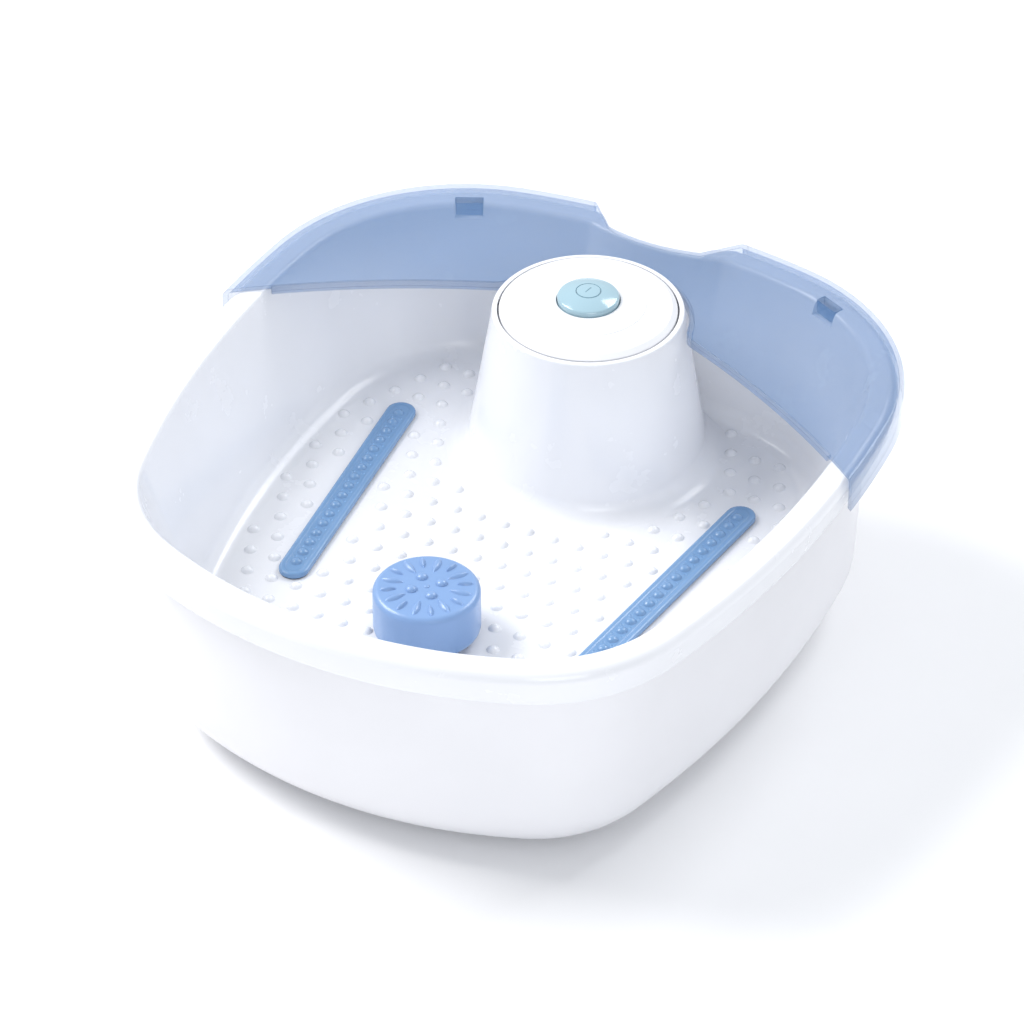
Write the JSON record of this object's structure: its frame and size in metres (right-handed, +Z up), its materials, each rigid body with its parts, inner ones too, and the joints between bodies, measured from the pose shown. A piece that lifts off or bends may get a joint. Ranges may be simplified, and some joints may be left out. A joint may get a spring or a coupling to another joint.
{
  "type": "foot spa basin",
  "caption": "Foot spa basin: moulded tub on a shell and base, with a lift-off clear rear splash guard, a central control column, bubble strips and a massage disc.",
  "frame": {"origin": "on the ground under the middle of the whole object", "axes": "+Z up, -Y towards the front where the heels or toes go in, +Y towards the splash guard at the back, +X to the right seen from the front"},
  "size_m": [0.351, 0.3859, 0.1552],
  "materials": {
    "tub_white": "glossy white moulded ABS",
    "shell_white": "glossy white moulded ABS with a fine sheen",
    "guard_blue": "clear blue moulded plastic",
    "cap_white": "satin white moulded ABS",
    "button_blue": "glossy blue-grey plastic",
    "strip_blue": "semi-clear blue plastic",
    "disc_blue": "satin blue plastic",
    "seal_rubber": "matt rubber",
    "foot_rubber": "matt rubber",
    "base_grey": "fine-grained moulded plastic",
    "gland_grey": "matt moulded plastic",
    "inner_grey": "matt moulded plastic",
    "inner_white": "matt moulded plastic",
    "switch_black": "matt moulded plastic",
    "screw_steel": "zinc-plated steel",
    "motor_steel": "plated steel can",
    "heater_metal": "plain aluminium",
    "weight_brass": "turned brass",
    "board_green": "solder-masked board",
    "core_dark": "varnished core and winding",
    "hose_clear": "soft translucent hose",
    "wire_red": "insulated wire",
    "wire_grey": "insulated wire"
  },
  "bodies": {
    "basin": {"basin_tub": "tub_white", "outer_shell": "shell_white", "base_plate": "base_grey", "rubber_feet": "foot_rubber", "base_screws": "screw_steel", "inlet_gland": "gland_grey", "column_cap": "cap_white", "cap_seal": "seal_rubber", "button_spring": "screw_steel", "spring_seat": "inner_grey", "push_switch": "switch_black", "control_board": "board_green", "board_screws": "screw_steel", "left_bubble_strip": "strip_blue", "right_bubble_strip": "strip_blue", "left_strip_seal": "seal_rubber", "right_strip_seal": "seal_rubber", "left_air_valve": "inner_white", "right_air_valve": "inner_white", "left_air_hose": "hose_clear", "right_air_hose": "hose_clear", "blower_housing": "inner_grey", "blower_cover": "inner_grey", "blower_screws": "screw_steel", "blower_motor": "motor_steel", "vibration_cradle": "inner_grey", "cradle_screws": "screw_steel", "vibration_motor": "motor_steel", "heater_plate": "heater_metal", "thermal_cutout": "switch_black", "power_board": "board_green", "transformer": "core_dark", "supply_wire": "wire_grey", "column_wires": "wire_red"},
    "guard": {"splash_guard": "guard_blue"},
    "disc": {"massage_disc": "disc_blue"},
    "button": {"control_button": "button_blue", "switch_plunger": "switch_black"},
    "impeller": {"blower_shaft": "screw_steel", "blower_impeller": "inner_white"},
    "eccentric": {"vibration_shaft": "screw_steel", "eccentric_weight": "weight_brass"}
  },
  "joints": [
    {"name": "guard_lift", "type": "slide", "parent": "basin", "child": "guard", "axis": [0, 0, 1], "range_m": [0, 0.06]},
    {"name": "disc_lift", "type": "slide", "parent": "basin", "child": "disc", "axis": [0, 0, 1], "range_m": [0, 0.04]},
    {"name": "button_press", "type": "slide", "parent": "basin", "child": "button", "axis": [0, 0, -1], "range_m": [0, 0.0025], "stiffness_N_per_m": 400, "springref_m": -0.002, "deforming": ["button_spring"]},
    {"name": "impeller_spin", "type": "hinge", "parent": "basin", "child": "impeller", "pos_m": [0, 0.097, 0.02], "axis": [0, 0, 1], "continuous": true},
    {"name": "eccentric_spin", "type": "hinge", "parent": "basin", "child": "eccentric", "pos_m": [0, -0.078, 0.0374], "axis": [1, 0, 0], "continuous": true}
  ]
}
